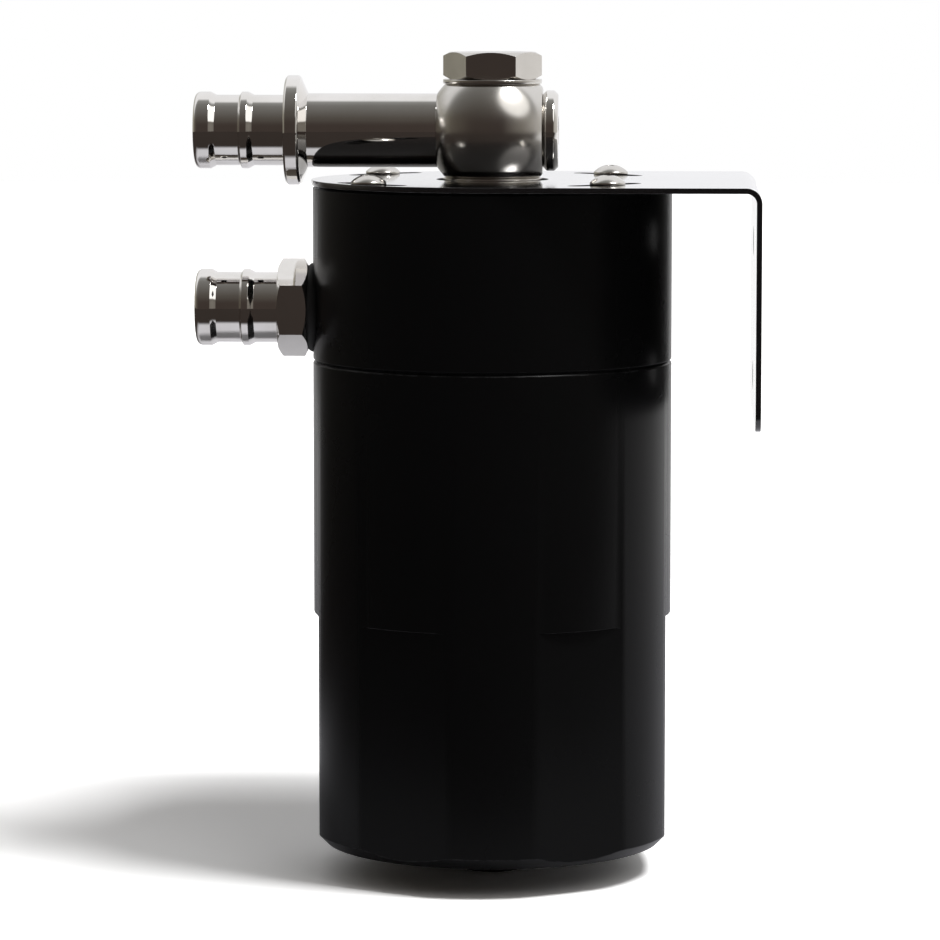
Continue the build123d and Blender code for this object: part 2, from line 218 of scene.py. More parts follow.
def make_world():
    """A painted studio for light and mirrors, and plain white for the camera."""
    world = bpy.data.worlds.new("studio")
    world.use_nodes = True
    tree = world.node_tree
    tree.nodes.clear()
    towards = add_node(tree, "ShaderNodeTexCoord").outputs["Generated"]
    split = add_node(tree, "ShaderNodeSeparateXYZ", {0: towards})
    to_camera = calculate(tree, "MULTIPLY", split.outputs["Y"], -1.0)
    round_angle = calculate(tree, "ARCTAN2", split.outputs["X"], to_camera)
    top_angle = calculate(tree, "ARCTAN2", split.outputs["Z"], to_camera)
    sides = colour_ramp(
        tree, calculate(tree, "ADD", calculate(tree, "DIVIDE", round_angle, 2 * math.pi), 0.5),
        [(degrees / 360 + 0.5, colour) for degrees, colour in ROUND_THE_HORIZON])
    above = colour_ramp(
        tree, calculate(tree, "DIVIDE", top_angle, math.pi),
        [(degrees / 180, colour) for degrees, colour in OVER_THE_TOP])
    upwards = smooth_step(tree, split.outputs["Z"], *UPWARD_BLEND)
    near_softbox = add_node(
        tree, "ShaderNodeVectorMath", {0: towards, 1: SOFTBOX_FROM}, operation="DOT_PRODUCT")
    softbox = smooth_step(tree, near_softbox.outputs["Value"], *SOFTBOX_EDGE)
    room = mix_colour(tree, upwards, sides, above)
    painted = mix_colour(tree, softbox, room, SOFTBOX_COLOUR)
    ray = add_node(tree, "ShaderNodeLightPath")
    missing = calculate(tree, "MULTIPLY", ray.outputs["Is Diffuse Ray"], ROOM_CUT)
    room_level = calculate(tree, "SUBTRACT", 1.0, missing)
    surroundings = add_node(
        tree, "ShaderNodeBackground", {"Color": painted, "Strength": room_level})
    white = add_node(
        tree, "ShaderNodeBackground", {"Color": (1.0, 1.0, 1.0, 1.0), "Strength": 1.0})
    shown = add_node(tree, "ShaderNodeMixShader", {
        0: ray.outputs["Is Camera Ray"], 1: surroundings.outputs[0], 2: white.outputs[0]})
    add_node(tree, "ShaderNodeOutputWorld", {"Surface": shown.outputs[0]})
    bpy.context.scene.world = world


def make_key_lamp():
    """A soft light from above, towards the front right."""
    lamp = bpy.data.lights.new("soft_lamp", "SUN")
    lamp.energy = KEY_STRENGTH
    lamp.angle = KEY_WIDTH
    holder = bpy.data.objects.new("soft_lamp", lamp)
    holder.rotation_euler = (-KEY_FROM).to_track_quat("-Z", "Y").to_euler()
    bpy.context.scene.collection.objects.link(holder)


make_world()
make_key_lamp()
bpy.context.scene.view_settings.view_transform = "Standard"
print("key lamp from", [round(x, 2) for x in KEY_FROM],
      "width", round(math.degrees(KEY_WIDTH)), "degrees")

# %% [markdown]
# ## The floor
# White paper lies flat under the can and rises by a few millimetres behind it, which lifts
# the shadow in the picture. The camera sees it white everywhere, apart from the shadow.
# Mirrors see more of it: it carries painted shade near the can, which makes it duller there than
# far behind, and it ends in front of the can and again to the left, where the table is bare and
# dark.

# %% Floor
FLOOR_HALF = 3.0
PAPER_BEND = 2.5
PAPER_BEND_END = 0.06
BEND_STEPS = 12
PAPER_FRONT = -0.12
PAPER_EDGE = (-0.15, 0.20)
BARE_LEFT = (math.radians(14), math.radians(50))
BARE_FROM = (0.11, 0.26)
# Painted shade: mirrors see the paper near the can duller than far from it.
PAPER_NEAR_PAINTED_SHADE = (0.70, 0.70, 0.74)
PAPER_FAR = (0.95, 0.95, 0.955)
PAINTED_SHADE_FADES = (0.30, 0.70)
FLOOR_SEEN = (1.50, 1.50, 1.50)
BARE_TABLE = (0.040, 0.032, 0.028)


def bare_table_mask(tree, place, distance):
    """1 where the mirrored floor is bare table: in front of the paper, and far to the left."""
    split = add_node(tree, "ShaderNodeSeparateXYZ", {0: place})
    past_front = calculate(tree, "SUBTRACT", split.outputs["Y"], PAPER_FRONT)
    on_paper = smooth_step(tree, calculate(tree, "DIVIDE", past_front, distance), *PAPER_EDGE)
    leftwards = calculate(tree, "MULTIPLY", split.outputs["X"], -1.0)
    left = smooth_step(tree, calculate(tree, "ARCTAN2", leftwards, split.outputs["Y"]), *BARE_LEFT)
    far_left = calculate(tree, "MULTIPLY", left, smooth_step(tree, distance, *BARE_FROM))
    papered = calculate(tree, "MULTIPLY", on_paper, calculate(tree, "SUBTRACT", 1.0, far_left))
    return calculate(tree, "SUBTRACT", 1.0, papered)


def paper_height(y):
    """Flat in front of the can's axis, then a short bend upwards, and flat again."""
    bent = min(max(y, 0.0), PAPER_BEND_END)
    return PAPER_BEND * bent * bent


def paper_finish():
    """White for the camera, and in mirrors paper with painted shade near the can, or bare table."""
    material = bpy.data.materials.new("paper")
    material.use_nodes = True
    tree = material.node_tree
    tree.nodes.clear()
    place = add_node(tree, "ShaderNodeTexCoord").outputs["Object"]
    distance = add_node(
        tree, "ShaderNodeVectorMath", {0: place}, operation="LENGTH").outputs["Value"]
    bare = bare_table_mask(tree, place, distance)
    # Painted shade near the can, fading out between these distances.
    far = smooth_step(tree, distance, *PAINTED_SHADE_FADES)
    paper_with_painted_shade = mix_colour(tree, far, PAPER_NEAR_PAINTED_SHADE, PAPER_FAR)
    ray = add_node(tree, "ShaderNodeLightPath")
    paper = mix_colour(tree, ray.outputs["Is Camera Ray"], paper_with_painted_shade, FLOOR_SEEN)
    dark = calculate(tree, "MULTIPLY", ray.outputs["Is Glossy Ray"], bare)
    matt = add_node(
        tree, "ShaderNodeBsdfDiffuse", {"Color": mix_colour(tree, dark, paper, BARE_TABLE)})
    add_node(tree, "ShaderNodeOutputMaterial", {"Surface": matt.outputs[0]})
    return material


def make_floor():
    """A wide sheet of white paper at the height that the can stands on."""
    bend = [PAPER_BEND_END * step / BEND_STEPS for step in range(BEND_STEPS + 1)]
    rows = [-FLOOR_HALF, *bend, 2 * PAPER_BEND_END, FLOOR_HALF]
    spots = [(side * FLOOR_HALF, y, cad_low.z + paper_height(y))
             for y in rows for side in (-1, 1)]
    strips = [(2 * i, 2 * i + 1, 2 * i + 3, 2 * i + 2) for i in range(len(rows) - 1)]
    mesh = bpy.data.meshes.new("paper")
    mesh.from_pydata(spots, [], strips)
    mesh.shade_smooth()
    mesh.materials.append(paper_finish())
    floor = bpy.data.objects.new("paper", mesh)
    bpy.context.scene.collection.objects.link(floor)


make_floor()
print("floor at", round(cad_low.z / MM, 3), "mm")

# %% [markdown]
# ## Effects that several finishes share
# Turned metal carries fine rings from the tool, handled metal has faint smudges,
# and coated edges wear through.
# Each effect is one node group, built once and placed in several materials with its own values.
# A group gives out only a mask or a height, and the material decides what that does.


# %% Helper for node groups
def new_group(name, inputs, outputs, kind="ShaderNodeTree"):
    """A node group with named sockets, and its two end nodes."""
    group = bpy.data.node_groups.new(name, kind)
    for in_out, sockets in (("INPUT", inputs), ("OUTPUT", outputs)):
        for label, socket_type in sockets.items():
            group.interface.new_socket(label, in_out=in_out, socket_type=socket_type)
    return group, group.nodes.new("NodeGroupInput"), group.nodes.new("NodeGroupOutput")


print("group helper ready")

# %% Shared shader groups
VALUE = "NodeSocketFloat"
VECTOR = "NodeSocketVector"
TORN_BETWEEN = (0.42, 0.62)


def make_turned_rings():
    """Fine rings round the Z axis, along the length and across the end faces."""
    group, given, result = new_group(
        "TurnedRings", {"Place": VECTOR, "Rings per mm": VALUE}, {"Height": VALUE})
    split = add_node(group, "ShaderNodeSeparateXYZ", {0: given.outputs["Place"]})
    across = [split.outputs[axis] for axis in "XY"]
    squares = [calculate(group, "MULTIPLY", side, side) for side in across]
    radius = calculate(group, "SQRT", calculate(group, "ADD", *squares))
    along = calculate(group, "ADD", split.outputs["Z"], radius)
    frequency = calculate(group, "DIVIDE", given.outputs["Rings per mm"], MM)
    rings = add_node(group, "ShaderNodeTexNoise", {
        "W": calculate(group, "MULTIPLY", along, frequency), "Scale": 1.0, "Detail": 2.0},
        noise_dimensions="1D")
    group.links.new(rings.outputs["Fac"], result.inputs["Height"])
    return group


def make_smudges():
    """Soft uneven patches, as handling and wiping leave them."""
    group, given, result = new_group(
        "Smudges", {"Place": VECTOR, "Size mm": VALUE, "Contrast": VALUE}, {"Mask": VALUE})
    scale = calculate(group, "DIVIDE", 1.0 / MM, given.outputs["Size mm"])
    cloud = add_node(group, "ShaderNodeTexNoise", {
        "Vector": given.outputs["Place"], "Scale": scale, "Detail": 5.0, "Roughness": 0.6})
    centred = calculate(group, "SUBTRACT", cloud.outputs["Fac"], 0.5)
    stretched = calculate(group, "MULTIPLY", centred, given.outputs["Contrast"])
    mask = add_node(group, "ShaderNodeClamp", {"Value": calculate(group, "ADD", stretched, 0.5)})
    group.links.new(mask.outputs[0], result.inputs["Mask"])
    return group


def make_edge_wear():
    """Broken light lines on the edges: an edge value from the mesh, torn up by a fine noise."""
    group, given, result = new_group(
        "EdgeWear", {"Place": VECTOR, "Edge": VALUE, "Grain mm": VALUE, "Amount": VALUE},
        {"Mask": VALUE})
    scale = calculate(group, "DIVIDE", 1.0 / MM, given.outputs["Grain mm"])
    grain = add_node(group, "ShaderNodeTexNoise", {
        "Vector": given.outputs["Place"], "Scale": scale, "Detail": 4.0, "Roughness": 0.7})
    torn = smooth_step(group, grain.outputs["Fac"], *TORN_BETWEEN)
    worn = calculate(group, "MULTIPLY", torn, given.outputs["Edge"])
    mask = calculate(group, "MULTIPLY", worn, given.outputs["Amount"])
    group.links.new(mask, result.inputs["Mask"])
    return group


turned_rings = make_turned_rings()
smudges = make_smudges()
edge_wear = make_edge_wear()
print("groups", [g.name for g in bpy.data.node_groups])

# %% [markdown]
# ## The finishes
# The can is black anodised: a dark, slightly rough skin that shines only at a low angle.
# The bracket has a gloss coat. Hose tails are bright plating, and the ball, bolt and screws
# are satin steel. All of them read Object coordinates, so a mark stays where it is on the can.
# Numbers that are the same all over the surface are set on the shader itself.


# %% Material helpers
def new_material(name, **fixed):
    """A material with a Principled shader, whose sockets get the fixed values by name."""
    material = bpy.data.materials.new(name)
    material.use_nodes = True
    tree = material.node_tree
    shader = tree.nodes["Principled BSDF"]
    for label, value in fixed.items():
        shader.inputs[label.replace("_", " ")].default_value = value
    place = add_node(tree, "ShaderNodeTexCoord").outputs["Object"]
    return material, tree, shader, place


def use_group(tree, group, inputs):
    """Places a shared group in a material."""
    return add_node(tree, "ShaderNodeGroup", inputs, node_tree=group).outputs[0]


def turned_about(tree, place, axis, through):
    """The place seen along the axis that the piece was turned about."""
    turn = {"Z": (0.0, 0.0, 0.0), "X": (0.0, math.pi / 2, 0.0)}[axis]
    moved = add_node(
        tree, "ShaderNodeVectorMath", {0: place, 1: through}, operation="SUBTRACT").outputs[0]
    return add_node(tree, "ShaderNodeMapping", {"Vector": moved, "Rotation": turn}).outputs[0]


def spread(tree, mask, low, high):
    """Turns a mask from 0 to 1 into a value from low to high."""
    return add_node(
        tree, "ShaderNodeMapRange", {"Value": mask, "To Min": low, "To Max": high}).outputs[0]


def bump(tree, shader, height, depth_mm):
    """Feeds a height to the shader's normal, as a real depth."""
    made = add_node(
        tree, "ShaderNodeBump", {"Height": height, "Distance": depth_mm * MM, "Strength": 1.0})
    tree.links.new(made.outputs[0], shader.inputs["Normal"])


def edge_value(tree):
    """The edge attribute that each softened piece carries on its mesh."""
    return add_node(tree, "ShaderNodeAttribute", attribute_name="edge").outputs["Fac"]


print("material helpers ready")

# %% [markdown]
# ### Black coatings
# Anodising keeps the fine rings of the lathe visible, and the coated sheet has a faint orange peel
# under its gloss. On both, the outermost edges let a little bare metal through.

# %% Black anodised, black oxide and gloss black
BARE_METAL = (0.30, 0.30, 0.31)
SHEET_DARK = (0.004, 0.004, 0.005)
SHEET_LIGHT = (0.006, 0.006, 0.007)
SHEET_ROUGH = (0.12, 0.18)
PEEL_SCALE = 700.0
PEEL_DEPTH_MM = 0.002


def black_skin(tree, place, dark, light, patch_mm, wear_grain_mm, wear):
    """An uneven black that lets bare metal through on the edges, and the mask of its patches."""
    patches = use_group(tree, smudges, {"Place": place, "Size mm": patch_mm, "Contrast": 1.6})
    worn = use_group(tree, edge_wear, {
        "Place": place, "Edge": edge_value(tree), "Grain mm": wear_grain_mm, "Amount": wear})
    skin = mix_colour(tree, patches, dark, light)
    return mix_colour(tree, worn, skin, BARE_METAL), patches


def black_coating(name, dark, light, rough, wear, rings_per_mm, ring_depth_mm, **fixed):
    """A thin black skin on turned metal."""
    material, tree, shader, place = new_material(name, **fixed)
    colour, patches = black_skin(
        tree, place, dark, light, patch_mm=55.0, wear_grain_mm=2.5, wear=wear)
    tree.links.new(colour, shader.inputs["Base Color"])
    tree.links.new(spread(tree, patches, *rough), shader.inputs["Roughness"])
    rings = use_group(tree, turned_rings, {"Place": place, "Rings per mm": rings_per_mm})
    bump(tree, shader, rings, ring_depth_mm)
    return material


def gloss_black_sheet():
    """Gloss black coat on aluminium sheet, with a faint orange peel."""
    material, tree, shader, place = new_material(
        "gloss_black_sheet", Coat_Weight=1.0, Coat_Roughness=0.07, Coat_IOR=1.5)
    colour, patches = black_skin(
        tree, place, SHEET_DARK, SHEET_LIGHT, patch_mm=40.0, wear_grain_mm=1.5, wear=0.15)
    tree.links.new(colour, shader.inputs["Base Color"])
    tree.links.new(spread(tree, patches, *SHEET_ROUGH), shader.inputs["Roughness"])
    peel = add_node(
        tree, "ShaderNodeTexNoise", {"Vector": place, "Scale": PEEL_SCALE, "Detail": 2.0})
    bump(tree, shader, peel.outputs["Fac"], PEEL_DEPTH_MM)
    return material


black_anodised = black_coating(
    "black_anodised", dark=(0.0034, 0.0034, 0.0035), light=(0.0042, 0.0042, 0.0043),
    rough=(0.25, 0.29), wear=0.05, rings_per_mm=6.0, ring_depth_mm=0.0004, Specular_IOR_Level=0.09)
black_oxide = black_coating(
    "black_oxide", dark=(0.004, 0.004, 0.004), light=(0.007, 0.007, 0.007),
    rough=(0.30, 0.38), wear=0.20, rings_per_mm=4.0, ring_depth_mm=0.0010, Specular_IOR_Level=0.4)
black_sheet = gloss_black_sheet()
print("black coatings made")

# %% [markdown]
# ### Bright metals
# Plating mirrors the room almost sharply. Steel is duller and shows how it was polished.
# A turned piece was polished round its own axis, so the rings follow the hose on the tails
# and the bolt on the ball.

# %% Bright plating, satin steel and plain aluminium
OUTLET_AXIS = sum(corner.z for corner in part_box("banjo_eye")) / 2
INLET_AXIS = sum(corner.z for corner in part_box("side_fitting")) / 2
PLATE_TINT = (0.84, 0.82, 0.80)
PLATE_DULL = (0.76, 0.74, 0.71)
PLATE_ROUGH = (0.03, 0.07)
STEEL_TINT = (0.70, 0.68, 0.65)
STEEL_DULL = (0.62, 0.60, 0.57)
ALUMINIUM_TINT = (0.72, 0.72, 0.73)
ALUMINIUM_DULL = (0.62, 0.62, 0.63)


def bright_metal(name, colour, dull, rough, rings_per_mm, ring_depth_mm, axis="Z", height=0.0):
    """Bare metal, turned and polished about one axis."""
    material, tree, shader, place = new_material(name, Metallic=1.0)
    patches = use_group(tree, smudges, {"Place": place, "Size mm": 9.0, "Contrast": 2.4})
    tree.links.new(mix_colour(tree, patches, colour, dull), shader.inputs["Base Color"])
    tree.links.new(spread(tree, patches, *rough), shader.inputs["Roughness"])
    turned = turned_about(tree, place, axis, (0.0, 0.0, height))
    rings = use_group(tree, turned_rings, {"Place": turned, "Rings per mm": rings_per_mm})
    bump(tree, shader, rings, ring_depth_mm)
    return material


outlet_plating, inlet_plating = (
    bright_metal(name, PLATE_TINT, PLATE_DULL, PLATE_ROUGH, 5.0, 0.0003, axis="X", height=height)
    for name, height in (("outlet_plating", OUTLET_AXIS), ("inlet_plating", INLET_AXIS)))
ball_steel = bright_metal("ball_steel", STEEL_TINT, STEEL_DULL, (0.17, 0.24), 7.0, 0.0006)
satin_steel = bright_metal("satin_steel", STEEL_TINT, STEEL_DULL, (0.16, 0.24), 8.0, 0.0006)
plain_aluminium = bright_metal(
    "plain_aluminium", ALUMINIUM_TINT, ALUMINIUM_DULL, (0.28, 0.38), 5.0, 0.0020)
print("bright metals made")

# %% [markdown]
# ### Rubber
# Seals are matt black, with a fine grain from the mould and a trace of grey dust.

# %% Rubber
RUBBER_DARK = (0.008, 0.008, 0.008)
RUBBER_DUSTY = (0.020, 0.020, 0.020)
RUBBER_ROUGH = (0.55, 0.75)
MOULD_GRAIN_SCALE = 6000.0
MOULD_GRAIN_DEPTH_MM = 0.004


def seal_rubber():
    """Matt black moulded rubber."""
    material, tree, shader, place = new_material("seal_rubber", Specular_IOR_Level=0.35)
    patches = use_group(tree, smudges, {"Place": place, "Size mm": 4.0, "Contrast": 2.0})
    colour = mix_colour(tree, patches, RUBBER_DARK, RUBBER_DUSTY)
    tree.links.new(colour, shader.inputs["Base Color"])
    tree.links.new(spread(tree, patches, *RUBBER_ROUGH), shader.inputs["Roughness"])
    grain = add_node(
        tree, "ShaderNodeTexNoise", {"Vector": place, "Scale": MOULD_GRAIN_SCALE, "Detail": 2.0})
    bump(tree, shader, grain.outputs["Fac"], MOULD_GRAIN_DEPTH_MM)
    return material


rubber = seal_rubber()
print("rubber made")

# %% [markdown]
# ## Soft edges
# No real edge is perfectly sharp: each catches a thin line of light, and a render without it
# looks like a drawing. A copy of the solid's mesh is merged, its flat triangles are joined
# to whole faces, and every sharp edge is bevelled. A Bevel modifier would do the same,
# but this way the new faces are known, and the material can wear just them.

# %% Softened copies of the solids
MERGE_DISTANCE = 1e-6
FLAT_ANGLE = math.radians(0.2)
SHARP_ANGLE = math.radians(24)
ROUND_PROFILE = 0.5
EDGE_STEPS = 3


def merged_copy(node):
    """A closed copy of a node's mesh, with its flat triangles joined."""
    made = bmesh.new()
    made.from_mesh(frame["nodes"][node].data)
    bmesh.ops.remove_doubles(made, verts=made.verts, dist=MERGE_DISTANCE)
    bmesh.ops.dissolve_limit(made, angle_limit=FLAT_ANGLE, verts=made.verts, edges=made.edges)
    return made


def soften(made, width_mm):
    """Rounds every sharp edge of a mesh, and marks the new faces with an edge value of 1."""
    edge_mark = made.faces.layers.float.new("edge")
    sharp = [edge for edge in made.edges if edge.calc_face_angle(0.0) > SHARP_ANGLE]
    rounded = bmesh.ops.bevel(
        made, geom=sharp, offset=width_mm * MM, offset_type="OFFSET", segments=EDGE_STEPS,
        profile=ROUND_PROFILE, affect="EDGES", clamp_overlap=True)
    for face in rounded["faces"]:
        face[edge_mark] = 1.0
    return made


def plain_mesh(holder):
    """Turns an object with modifiers into one with a plain mesh."""
    bpy.context.view_layer.update()
    graph = bpy.context.evaluated_depsgraph_get()
    mesh = bpy.data.meshes.new_from_object(holder.evaluated_get(graph))
    holder.modifiers.clear()
    holder.data = mesh
    return mesh


def link_piece(name, mesh, material):
    """A new object at the origin with that mesh and that material."""
    mesh.materials.clear()
    mesh.materials.append(material)
    piece = bpy.data.objects.new(name, mesh)
    bpy.context.scene.collection.objects.link(piece)
    return piece


def stand_for(piece, node):
    """Lets a finished piece ride on its node's body, in the node's place."""
    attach(piece, body_of_node[node])
    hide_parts(node)
    return piece


def finished_object(name, made, material):
    """An object from a softened mesh, with smooth normals weighted by face size."""
    mesh = bpy.data.meshes.new(name)
    made.to_mesh(mesh)
    made.free()
    mesh.shade_smooth()
    piece = link_piece(name, mesh, material)
    weighted = piece.modifiers.new("even_normals", "WEIGHTED_NORMAL")
    weighted.keep_sharp = True
    plain_mesh(piece)
    return piece


def softened_piece(node, material, width_mm):
    """A soft-edged copy of a node, in the node's place."""
    piece = finished_object(node + "_finished", soften(merged_copy(node), width_mm), material)
    return stand_for(piece, node)


print("softening helpers ready")

# %% The softened pieces, each with its finish and the width of its edges in millimetres
SOFT_EDGES = {
    "head": (black_anodised, 0.25),
    "cup": (black_anodised, 0.25),
    "drain_plug": (black_oxide, 0.20),
    "bracket": (black_sheet, 0.22),
    "banjo_eye": (ball_steel, 0.30),
    "banjo_tail": (outlet_plating, 0.30),
    "banjo_end_plug": (outlet_plating, 0.25),
    "banjo_bolt": (satin_steel, 0.15),
    "banjo_upper_washer": (satin_steel, 0.18),
    "banjo_lower_washer": (satin_steel, 0.18),
    "side_fitting": (inlet_plating, 0.25),
    "separator_tube": (plain_aluminium, 0.15),
    "screen_plate": (plain_aluminium, 0.10),
    "screen_circlip": (satin_steel, 0.15),
}
for node, (material, width_mm) in SOFT_EDGES.items():
    piece = softened_piece(node, material, width_mm)
    print(piece.name, "faces", len(piece.data.polygons))

# %% [markdown]
# ## Pieces that follow a rule
# Screws, threads, seals and knitted wire all repeat one shape along a rule,
# which is what Geometry Nodes are for. Each rule below is a tree with named inputs.
# A helper gives an object that tree, fills the inputs by their identifiers,
# takes the result as a plain mesh and drops the modifier, so that nothing stays live.

# %% Helpers for geometry trees
WHOLE = "NodeSocketInt"
FINISH = "NodeSocketMaterial"
SHAPE = "NodeSocketGeometry"
RANDOM_MIN, RANDOM_MAX, RANDOM_SEED = 2, 3, 8
RANDOM_RESULT = 1


def new_rule(name, inputs):
    """A geometry tree with named inputs, a finish to paint with, and one shape as its result."""
    return new_group(name, {**inputs, "Finish": FINISH}, {"Shape": SHAPE}, "GeometryNodeTree")


def end_rule(tree, given, result, shape):
    """Ends a tree: real faces instead of instances, smooth shading and the finish."""
    real = add_node(tree, "GeometryNodeRealizeInstances", {"Geometry": shape}).outputs[0]
    smooth = add_node(tree, "GeometryNodeSetShadeSmooth", {"Geometry": real}).outputs[0]
    painted = add_node(tree, "GeometryNodeSetMaterial", {
        "Geometry": smooth, "Material": given.outputs["Finish"]})
    tree.links.new(painted.outputs[0], result.inputs["Shape"])
    return tree


def grown_piece(name, tree, values):
    """A new object whose mesh a tree makes from the given values."""
    piece = bpy.data.objects.new(name, bpy.data.meshes.new(name))
    bpy.context.scene.collection.objects.link(piece)
    grower = piece.modifiers.new("grow", "NODES")
    grower.node_group = tree
    for item in tree.interface.items_tree:
        if item.in_out == "INPUT":
            grower[item.identifier] = values[item.name]
    plain_mesh(piece).name = name
    return piece


def vector_of(tree, x=0.0, y=0.0, z=0.0):
    """A vector from three values or links."""
    return add_node(tree, "ShaderNodeCombineXYZ", {"X": x, "Y": y, "Z": z}).outputs[0]


def rotation_of(tree, euler):
    """A rotation from a vector of angles."""
    return add_node(tree, "FunctionNodeEulerToRotation", {0: euler}).outputs[0]


def random_value(tree, low, high, seed):
    """A random value for each point, the same in every run."""
    made = add_node(tree, "FunctionNodeRandomValue", {
        RANDOM_MIN: low, RANDOM_MAX: high, RANDOM_SEED: seed})
    return made.outputs[RANDOM_RESULT]


print("geometry helpers ready")

# %% [markdown]
# ### Bracket screws
# Four button-head screws hold the bracket. Their sockets never end up parallel,
# so each is turned by a random angle. One soft-edged screw is taken from the solids,
# and the tree sets a copy on each corner of a grid.

# %% Screws
SCREW_EDGE_MM = 0.12
LARGEST_TURN = math.pi / 3
TURN_SEED = 5


def screw_rule():
    """Copies of one screw on the corners of a rectangle, each turned a little."""
    tree, given, result = new_rule("ScrewsOnCorners", {
        "Screw": "NodeSocketObject", "Spread X": VALUE, "Spread Y": VALUE, "Largest turn": VALUE,
        "Seed": WHOLE})
    corners = add_node(tree, "GeometryNodeMeshGrid", {
        "Size X": given.outputs["Spread X"], "Size Y": given.outputs["Spread Y"],
        "Vertices X": 2, "Vertices Y": 2})
    screw = add_node(tree, "GeometryNodeObjectInfo", {
        "Object": given.outputs["Screw"], "As Instance": True})
    turn = random_value(tree, 0.0, given.outputs["Largest turn"], given.outputs["Seed"])
    placed = add_node(tree, "GeometryNodeInstanceOnPoints", {
        "Points": corners.outputs["Mesh"], "Instance": screw.outputs["Geometry"],
        "Rotation": rotation_of(tree, vector_of(tree, z=turn))})
    return end_rule(tree, given, result, placed.outputs[0])


def single_screw(spread_x, spread_y):
    """One soft-edged screw on the can's axis, cut out of the node that holds all four."""
    made = merged_copy("bracket_screws")
    others = [vert for vert in made.verts if vert.co.x < 0 or vert.co.y < 0]
    bmesh.ops.delete(made, geom=others, context="VERTS")
    bmesh.ops.translate(made, verts=made.verts, vec=(-spread_x / 2, -spread_y / 2, 0.0))
    return finished_object("single_screw", soften(made, SCREW_EDGE_MM), satin_steel)


screws_low, screws_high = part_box("bracket_screws")
screw_points = [vert.co for vert in frame["nodes"]["bracket_screws"].data.vertices]
reach = [co.x for co in screw_points if co.x > 0 and co.y > 0]
head_width = max(reach) - min(reach)
spread_x = screws_high.x - screws_low.x - head_width
spread_y = screws_high.y - screws_low.y - head_width
pattern = single_screw(spread_x, spread_y)
screws = grown_piece("bracket_screws_finished", screw_rule(), {
    "Screw": pattern, "Spread X": spread_x, "Spread Y": spread_y, "Largest turn": LARGEST_TURN,
    "Seed": TURN_SEED, "Finish": satin_steel})
bpy.data.objects.remove(pattern)
stand_for(screws, "bracket_screws")
print("screws", [round(x / MM, 2) for x in (spread_x, spread_y)], "mm apart,",
      "faces", len(screws.data.polygons))

# %% [markdown]
# ### Screw threads
# The cup screws onto the head, and the drain plug into the cup. The solids have only the bare
# cores, so the ridges are added here: a trapezoid swept along a helix, faded at both ends
# as a cut thread is.
# Both partners have the same pitch and lie half a pitch apart. A piece sinks by one pitch
# with each turn, so the ridges slide in each other's grooves in every pose.

# %% The rule of a thread
OUTER, INNER = 1.0, -1.0
FADED_SIZE = 0.08


def thread_rule():
    """A trapezoid ridge along a right-hand helix, on the outside of a core or in a bore."""
    tree, given, result = new_rule("ThreadRidge", {
        "Root radius": VALUE, "Height": VALUE, "Base width": VALUE, "Crest width": VALUE,
        "Pitch": VALUE, "Turns": VALUE, "Bottom": VALUE, "Side": VALUE, "Steps per turn": WHOLE,
        "Fade": VALUE})
    rise = calculate(tree, "MULTIPLY", given.outputs["Turns"], given.outputs["Pitch"])
    helix = add_node(tree, "GeometryNodeCurveSpiral", {
        "Resolution": given.outputs["Steps per turn"], "Rotations": given.outputs["Turns"],
        "Start Radius": given.outputs["Root radius"], "End Radius": given.outputs["Root radius"],
        "Height": rise, "Reverse": True})
    lifted = add_node(tree, "GeometryNodeTransform", {
        "Geometry": helix.outputs[0], "Translation": vector_of(tree, z=given.outputs["Bottom"])})
    upright = add_node(
        tree, "GeometryNodeSetCurveNormal", {"Curve": lifted.outputs[0]}, mode="Z_UP")
    section = add_node(tree, "GeometryNodeCurvePrimitiveQuadrilateral", {
        "Bottom Width": given.outputs["Base width"], "Top Width": given.outputs["Crest width"],
        "Height": given.outputs["Height"], "Offset": 0.0}, mode="TRAPEZOID")
    turn = calculate(tree, "MULTIPLY", given.outputs["Side"], -math.pi / 2)
    half_height = calculate(tree, "MULTIPLY", given.outputs["Height"], 0.5)
    middle = calculate(tree, "MULTIPLY", half_height, given.outputs["Side"])
    facing = add_node(tree, "GeometryNodeTransform", {
        "Geometry": section.outputs[0], "Translation": vector_of(tree, x=middle),
        "Rotation": rotation_of(tree, vector_of(tree, z=turn))})
    along = add_node(tree, "GeometryNodeSplineParameter").outputs["Factor"]
    fades = [
        add_node(tree, "ShaderNodeMapRange", {
            "Value": place, "From Min": 0.0, "From Max": given.outputs["Fade"],
            "To Min": FADED_SIZE, "To Max": 1.0}).outputs[0]
        for place in (along, calculate(tree, "SUBTRACT", 1.0, along))]
    ridge = add_node(tree, "GeometryNodeCurveToMesh", {
        "Curve": upright.outputs[0], "Profile Curve": facing.outputs[0],
        "Scale": calculate(tree, "MULTIPLY", *fades), "Fill Caps": True})
    return end_rule(tree, given, result, ridge.outputs[0])


thread_tree = thread_rule()
print("thread rule ready")

# %% Threads
CUP_PITCH = 3.0 * MM
PLUG_PITCH = 1.75 * MM
THREAD_SINK = 0.15 * MM
STEPS_PER_TURN = 72
FADED_SHARE = 0.12
CUP_RIDGE = {"Height": 1.1 * MM + THREAD_SINK, "Base width": 2.3 * MM, "Crest width": 0.55 * MM,
             "Pitch": CUP_PITCH}
PLUG_RIDGE = {"Height": 0.75 * MM + THREAD_SINK, "Base width": 1.35 * MM, "Crest width": 0.3 * MM,
              "Pitch": PLUG_PITCH}
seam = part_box("cup")[1].z
floor_of_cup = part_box("cup")[0].z


